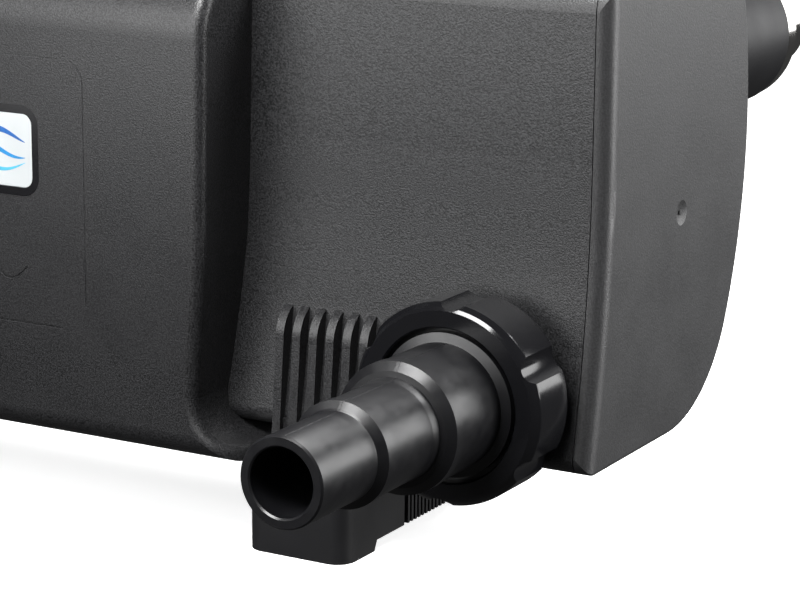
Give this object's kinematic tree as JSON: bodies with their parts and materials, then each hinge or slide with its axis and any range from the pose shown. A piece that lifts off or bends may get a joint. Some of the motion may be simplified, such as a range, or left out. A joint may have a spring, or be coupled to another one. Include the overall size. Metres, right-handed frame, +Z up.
{
  "type": "pond canister filter",
  "caption": "Long flow-through pond filter casing with a raised front cover, stepped hose inlet, steel rear outlet, moulded feet and a pull-out UV lamp unit.",
  "frame": {"origin": "centre of the four floor screw holes in the feet, on the surface the feet stand on", "axes": "+X along the casing to its smooth end cap, -Y is the front with the hose tail, +Z up"},
  "size_m": [0.6362, 0.383, 0.233],
  "materials": {
    "housing": "fine pebble-grained moulding",
    "cap": "smooth satin moulding",
    "foot": "satin moulding",
    "port_black": "satin black",
    "hose_tail": "semi-gloss black",
    "gloss_black": "gloss black",
    "head_plastic": "satin black",
    "steel": "polished stainless steel",
    "screw_steel": "plated steel",
    "seal": "black rubber",
    "bezel": "gloss black",
    "badge": "satin silver with a printed wave pattern",
    "coarse_foam": "open-cell foam, coarse",
    "medium_foam": "open-cell foam, medium",
    "fine_foam": "open-cell foam, fine",
    "quartz": "clear quartz",
    "lamp_glass": "clear lamp glass",
    "lamp_ceramic": "white ceramic",
    "rotor_white": "natural white moulding",
    "brush": "bristle strip",
    "gear_tray": "grey moulding",
    "ballast_case": "white control-gear case",
    "terminals": "ivory terminal strip"
  },
  "bodies": {
    "housing": {"casing": "housing", "front_cover": "housing", "right_end_cap": "cap", "left_end_cap": "cap", "right_foot": "foot", "left_foot": "foot", "inlet_port": "port_black", "outlet_port": "port_black", "lamp_collar": "port_black", "outlet_manifold": "port_black", "reaction_tube": "port_black", "right_media_grid": "port_black", "left_media_grid": "port_black", "sleeve_support": "port_black", "left_rotor_bush": "port_black", "right_rotor_bush": "port_black", "cover_gland_bodies": "gloss_black", "cover_gland_nuts": "gloss_black", "cover_screws": "screw_steel", "foot_screws": "screw_steel", "gear_screws": "screw_steel", "right_end_seal": "seal", "left_end_seal": "seal", "inlet_gasket": "seal", "outlet_gasket": "seal", "cover_gland_seals": "seal", "badge_bezel": "bezel", "badge_plate": "badge", "coarse_foam": "coarse_foam", "medium_foam": "medium_foam", "fine_foam": "fine_foam", "gear_tray": "gear_tray", "ballast": "ballast_case", "terminal_block": "terminals"},
    "inlet_tail": {"inlet_hose_tail": "hose_tail"},
    "inlet_nut": {"inlet_union_nut": "gloss_black"},
    "outlet_tube": {"outlet_pipe": "steel"},
    "outlet_ring": {"outlet_union_ring": "steel"},
    "lamp_unit": {"lamp_head": "head_plastic", "quartz_sleeve": "quartz", "sleeve_o_ring": "seal", "sleeve_clamp": "gloss_black", "uv_lamp": "lamp_glass", "lamp_base": "lamp_ceramic", "lamp_socket": "lamp_ceramic", "head_o_ring": "seal", "head_gland_body": "gloss_black", "head_gland_nut": "gloss_black", "head_gland_seal": "seal"},
    "locking_ring": {"head_locking_ring": "gloss_black"},
    "rotor": {"cleaning_rotor": "rotor_white", "rotor_brushes": "brush"}
  },
  "joints": [
    {"name": "inlet_nut_turn", "type": "hinge", "parent": "inlet_tail", "child": "inlet_nut", "pos_m": [0.2273, -0.093, 0.077], "axis": [0, -1, 0], "range_deg": [0, 1800]},
    {"name": "inlet_tail_slide", "type": "slide", "parent": "housing", "child": "inlet_tail", "axis": [0, -1, 0], "range_m": [0, 0.0116]},
    {"name": "outlet_ring_turn", "type": "hinge", "parent": "outlet_tube", "child": "outlet_ring", "pos_m": [0.239, 0.125, 0.1915], "axis": [0, 1, 0], "range_deg": [0, 720]},
    {"name": "outlet_tube_slide", "type": "slide", "parent": "housing", "child": "outlet_tube", "axis": [0, 1, 0], "range_m": [0, 0.0047]},
    {"name": "lamp_unit_slide", "type": "slide", "parent": "housing", "child": "lamp_unit", "axis": [-1, 0, 0], "range_m": [0, 0.48]},
    {"name": "locking_ring_turn", "type": "hinge", "parent": "lamp_unit", "child": "locking_ring", "pos_m": [-0.289, 0, 0.133], "axis": [-1, 0, 0], "range_deg": [0, 60]},
    {"name": "rotor_spin", "type": "hinge", "parent": "housing", "child": "rotor", "pos_m": [0, 0, 0.133], "axis": [1, 0, 0], "continuous": true}
  ],
  "couplings": [
    {"joint": "inlet_tail_slide", "follows": "inlet_nut_turn", "m_per_rad": 0.00036749},
    {"joint": "outlet_tube_slide", "follows": "outlet_ring_turn", "m_per_rad": 0.00036749}
  ]
}
